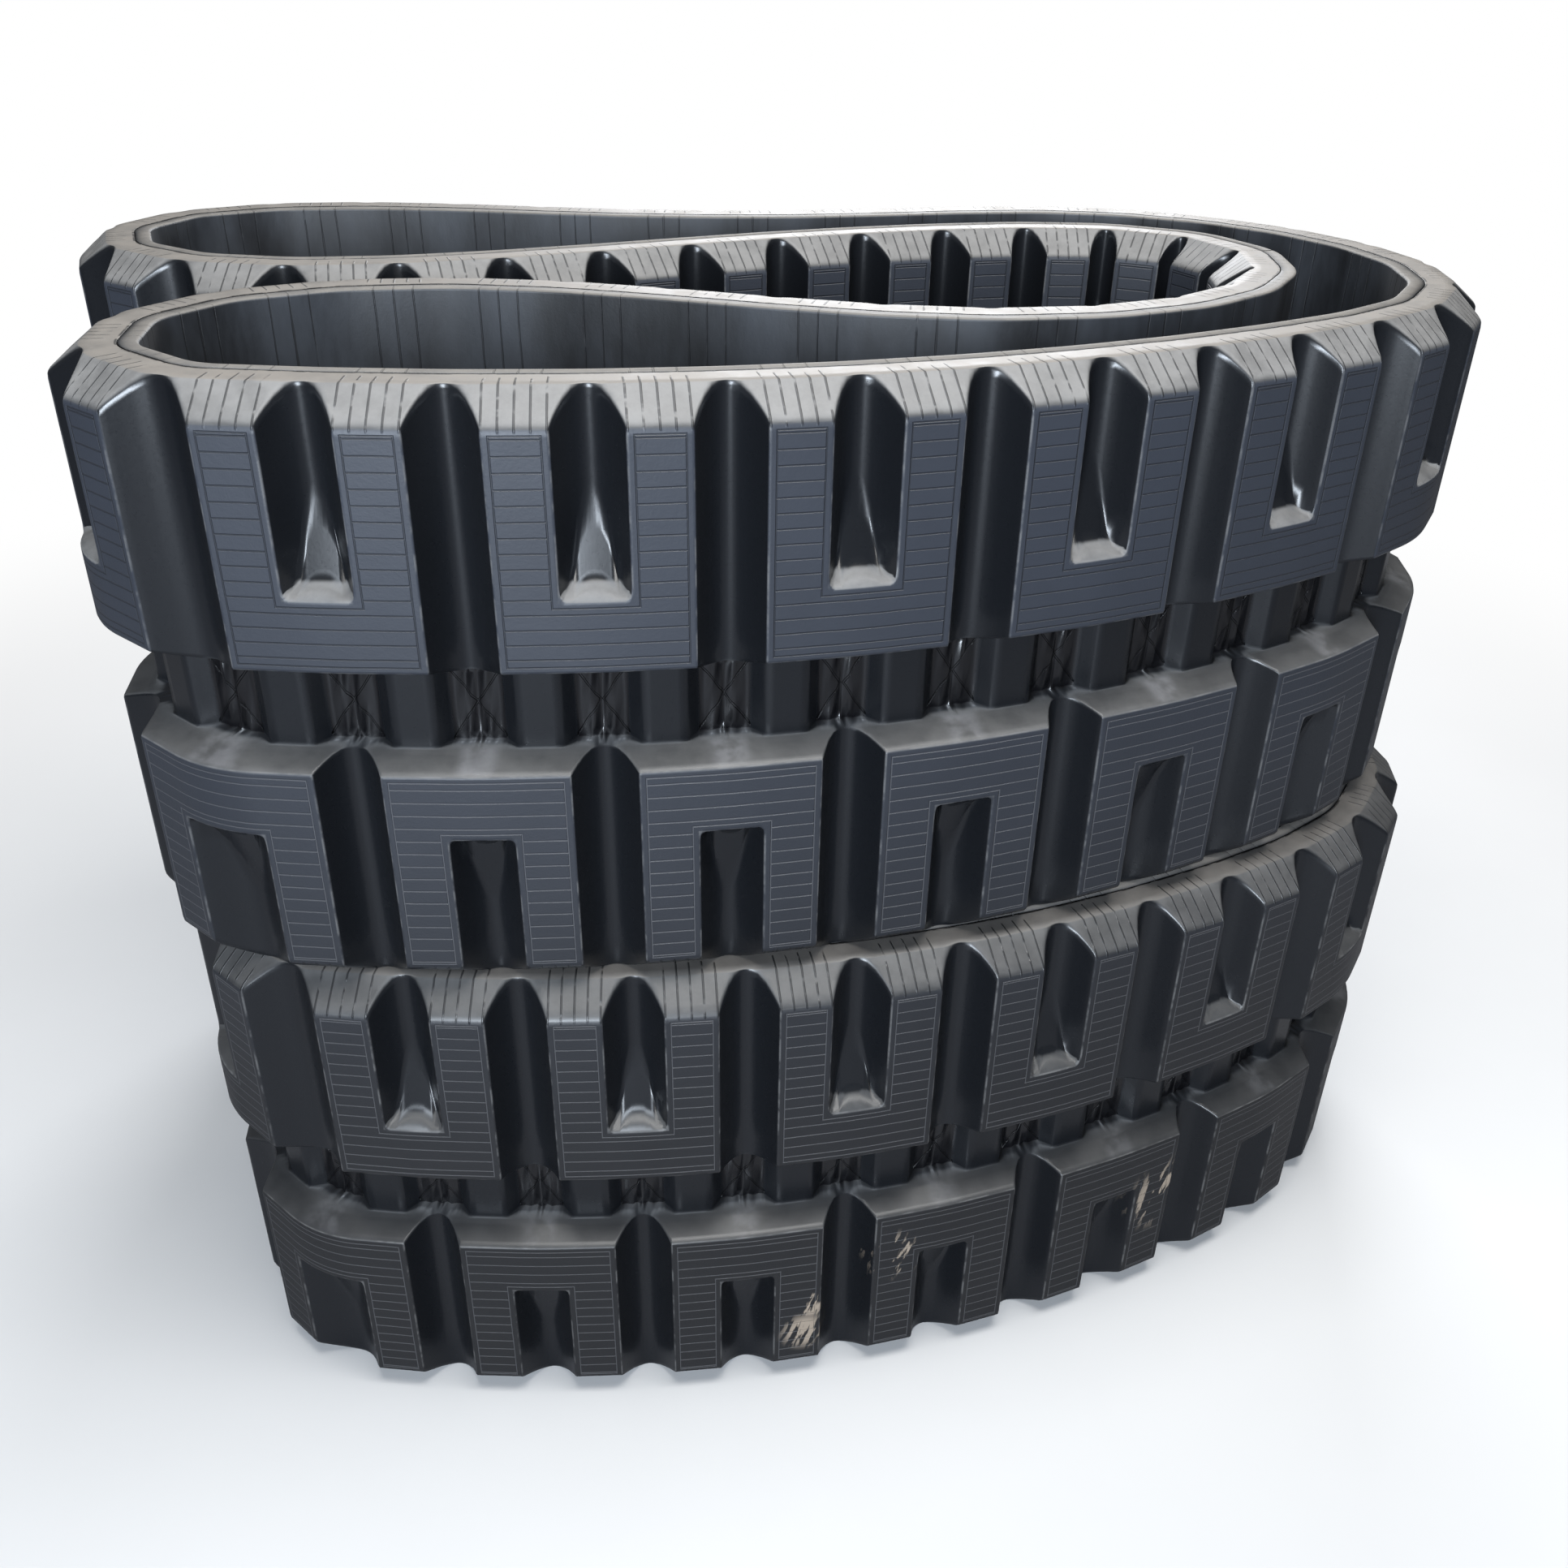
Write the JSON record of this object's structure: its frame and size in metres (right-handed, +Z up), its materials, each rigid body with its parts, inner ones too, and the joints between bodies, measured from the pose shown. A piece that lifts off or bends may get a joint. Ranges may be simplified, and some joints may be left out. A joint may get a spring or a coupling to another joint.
{
  "type": "rubber track",
  "caption": "Stack of endless rubber crawler tracks lying on their sides, each folded double, with block lugs outside and smooth roller paths inside.",
  "frame": {"origin": "centre of the bounding box at its bottom face, on the floor under the stack", "axes": "+Z up across the width of both tracks, +X along the longest side of the stack, -Y towards the outer front run that faces the viewer"},
  "size_m": [1.272, 0.7938, 0.9003],
  "materials": {
    "tread_rubber": "matte, dusty",
    "roller_path_rubber": "smooth, slightly glossy",
    "core_steel": "as forged"
  },
  "bodies": {
    "lower_outer_front": {"lower_outer_front_tread": "tread_rubber", "lower_outer_front_core_ladder": "core_steel", "lower_outer_front_roller_path_top": "roller_path_rubber", "lower_outer_front_roller_path_bottom": "roller_path_rubber"},
    "lower_outer_rear": {"lower_outer_rear_tread": "tread_rubber", "lower_outer_rear_core_ladder": "core_steel", "lower_outer_rear_roller_path_top": "roller_path_rubber", "lower_outer_rear_roller_path_bottom": "roller_path_rubber"},
    "lower_inner_rear": {"lower_inner_rear_tread": "tread_rubber", "lower_inner_rear_core_ladder": "core_steel", "lower_inner_rear_roller_path_top": "roller_path_rubber", "lower_inner_rear_roller_path_bottom": "roller_path_rubber"},
    "lower_inner_front": {"lower_inner_front_tread": "tread_rubber", "lower_inner_front_core_ladder": "core_steel", "lower_inner_front_roller_path_top": "roller_path_rubber", "lower_inner_front_roller_path_bottom": "roller_path_rubber"},
    "upper_outer_front": {"upper_outer_front_tread": "tread_rubber", "upper_outer_front_core_ladder": "core_steel", "upper_outer_front_roller_path_top": "roller_path_rubber", "upper_outer_front_roller_path_bottom": "roller_path_rubber"},
    "upper_outer_rear": {"upper_outer_rear_tread": "tread_rubber", "upper_outer_rear_core_ladder": "core_steel", "upper_outer_rear_roller_path_top": "roller_path_rubber", "upper_outer_rear_roller_path_bottom": "roller_path_rubber"},
    "upper_inner_rear": {"upper_inner_rear_tread": "tread_rubber", "upper_inner_rear_core_ladder": "core_steel", "upper_inner_rear_roller_path_top": "roller_path_rubber", "upper_inner_rear_roller_path_bottom": "roller_path_rubber"},
    "upper_inner_front": {"upper_inner_front_tread": "tread_rubber", "upper_inner_front_core_ladder": "core_steel", "upper_inner_front_roller_path_top": "roller_path_rubber", "upper_inner_front_roller_path_bottom": "roller_path_rubber"}
  },
  "joints": [
    {"name": "lower_main_fold", "type": "hinge", "parent": "lower_outer_front", "child": "lower_outer_rear", "pos_m": [0.57289, 0.14601, 0.225], "axis": [0, 0, -1], "range_deg": [0, 10]},
    {"name": "lower_rear_hairpin_flex", "type": "hinge", "parent": "lower_outer_rear", "child": "lower_inner_rear", "pos_m": [-0.53242, 0.22413, 0.225], "axis": [0, 0, -1], "range_deg": [0, 0.32]},
    {"name": "lower_front_hairpin_flex", "type": "hinge", "parent": "lower_outer_front", "child": "lower_inner_front", "pos_m": [-0.4178, -0.28955, 0.225], "axis": [0, 0, -1], "range_deg": [-0.85, 0]},
    {"name": "upper_main_fold", "type": "hinge", "parent": "upper_outer_front", "child": "upper_outer_rear", "pos_m": [0.54322, 0.1797, 0.6753], "axis": [0, 0, -1], "range_deg": [0, 10]},
    {"name": "upper_rear_hairpin_flex", "type": "hinge", "parent": "upper_outer_rear", "child": "upper_inner_rear", "pos_m": [-0.56391, 0.22538, 0.6753], "axis": [0, 0, -1], "range_deg": [0, 0.32]},
    {"name": "upper_front_hairpin_flex", "type": "hinge", "parent": "upper_outer_front", "child": "upper_inner_front", "pos_m": [-0.43428, -0.28472, 0.6753], "axis": [0, 0, -1], "range_deg": [-0.85, 0]},
    {"name": "lift_off", "type": "slide", "parent": "lower_outer_front", "child": "upper_outer_front", "axis": [0, 0, 1], "range_m": [0, 0.5]}
  ],
  "couplings": [
    {"joint": "lower_rear_hairpin_flex", "follows": "lower_main_fold", "ratio": 0.0314},
    {"joint": "lower_front_hairpin_flex", "follows": "lower_main_fold", "ratio": -0.084},
    {"joint": "upper_rear_hairpin_flex", "follows": "upper_main_fold", "ratio": 0.0314},
    {"joint": "upper_front_hairpin_flex", "follows": "upper_main_fold", "ratio": -0.084}
  ]
}
